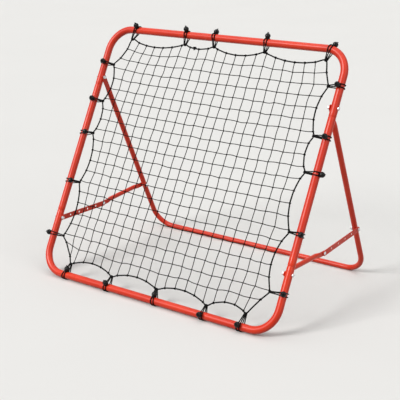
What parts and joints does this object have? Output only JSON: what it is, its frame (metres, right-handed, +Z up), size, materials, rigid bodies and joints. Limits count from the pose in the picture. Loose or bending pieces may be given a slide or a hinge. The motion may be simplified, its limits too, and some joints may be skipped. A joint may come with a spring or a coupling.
{
  "type": "football rebounder",
  "caption": "Leaning tube frame with a net tied inside it by ball ties, propped by a folding rear frame and two-link stays, for bouncing a ball back to the player.",
  "frame": {"origin": "the ground, at the middle of the footprint", "axes": "+X to the right as seen from the net's front, along the ground bars; +Y from the net's front to the rear frame; +Z up"},
  "size_m": [1.0374, 0.661, 0.8446],
  "materials": {
    "red_powder_coat": "satin gloss powder coat",
    "zinc_plated_steel": "bright zinc plate",
    "net_twine": "knotted black twine",
    "edge_rope": "braided black cord",
    "ball_tie_elastic": "black elastic cord with a moulded ball"
  },
  "bodies": {
    "main_frame": {"top_u_tube": "red_powder_coat", "bottom_u_tube": "red_powder_coat", "left_side_tube": "red_powder_coat", "right_side_tube": "red_powder_coat", "net": "net_twine", "net_edge_rope": "edge_rope", "bottom_tie_1": "ball_tie_elastic", "bottom_tie_2": "ball_tie_elastic", "bottom_tie_3": "ball_tie_elastic", "bottom_tie_4": "ball_tie_elastic", "bottom_tie_5": "ball_tie_elastic", "right_tie_1": "ball_tie_elastic", "right_tie_2": "ball_tie_elastic", "right_tie_3": "ball_tie_elastic", "right_tie_4": "ball_tie_elastic", "right_tie_5": "ball_tie_elastic", "top_tie_1": "ball_tie_elastic", "top_tie_2": "ball_tie_elastic", "top_tie_3": "ball_tie_elastic", "top_tie_4": "ball_tie_elastic", "top_tie_5": "ball_tie_elastic", "left_tie_1": "ball_tie_elastic", "left_tie_2": "ball_tie_elastic", "left_tie_3": "ball_tie_elastic", "left_tie_4": "ball_tie_elastic", "left_tie_5": "ball_tie_elastic", "left_hinge_bolt": "zinc_plated_steel", "left_hinge_washer": "zinc_plated_steel", "left_hinge_nut": "zinc_plated_steel", "right_hinge_bolt": "zinc_plated_steel", "right_hinge_washer": "zinc_plated_steel", "right_hinge_nut": "zinc_plated_steel", "left_front_stay_bolt": "zinc_plated_steel", "left_front_stay_washer": "zinc_plated_steel", "left_front_stay_nut": "zinc_plated_steel", "right_front_stay_bolt": "zinc_plated_steel", "right_front_stay_washer": "zinc_plated_steel", "right_front_stay_nut": "zinc_plated_steel"},
    "rear_frame": {"rear_frame_tube": "red_powder_coat", "left_rear_stay_bolt": "zinc_plated_steel", "left_rear_stay_washer": "zinc_plated_steel", "left_rear_stay_nut": "zinc_plated_steel", "right_rear_stay_bolt": "zinc_plated_steel", "right_rear_stay_washer": "zinc_plated_steel", "right_rear_stay_nut": "zinc_plated_steel"},
    "left_front_link": {"left_stay_flat_link": "red_powder_coat", "left_stay_rivet": "zinc_plated_steel"},
    "left_rear_link": {"left_stay_tube_link": "red_powder_coat", "left_stay_rivet_tail": "zinc_plated_steel"},
    "right_front_link": {"right_stay_tube_link": "red_powder_coat", "right_stay_rivet_tail": "zinc_plated_steel"},
    "right_rear_link": {"right_stay_flat_link": "red_powder_coat", "right_stay_rivet": "zinc_plated_steel"}
  },
  "joints": [
    {"name": "rear_fold", "type": "hinge", "parent": "main_frame", "child": "rear_frame", "pos_m": [0, 0.05237, 0.64939], "axis": [-1, 0, 0], "range_deg": [0, 32]},
    {"name": "left_front_pivot", "type": "hinge", "parent": "main_frame", "child": "left_front_link", "pos_m": [0, -0.20786, 0.18378], "axis": [-1, 0, 0], "range_deg": [0, 75]},
    {"name": "right_front_pivot", "type": "hinge", "parent": "main_frame", "child": "right_front_link", "pos_m": [0, -0.20786, 0.18378], "axis": [-1, 0, 0], "range_deg": [0, 70.2]},
    {"name": "left_rear_pivot", "type": "hinge", "parent": "rear_frame", "child": "left_rear_link", "pos_m": [0, 0.24509, 0.19049], "axis": [1, 0, 0], "range_deg": [0, 84.3]},
    {"name": "right_rear_pivot", "type": "hinge", "parent": "rear_frame", "child": "right_rear_link", "pos_m": [0, 0.24509, 0.19049], "axis": [1, 0, 0], "range_deg": [0, 89.1]}
  ],
  "couplings": [
    {"joint": "left_front_pivot", "follows": "rear_fold", "ratio": 2.3427},
    {"joint": "right_front_pivot", "follows": "rear_fold", "ratio": 2.1929},
    {"joint": "left_rear_pivot", "follows": "rear_fold", "ratio": 2.6337},
    {"joint": "right_rear_pivot", "follows": "rear_fold", "ratio": 2.7835}
  ]
}
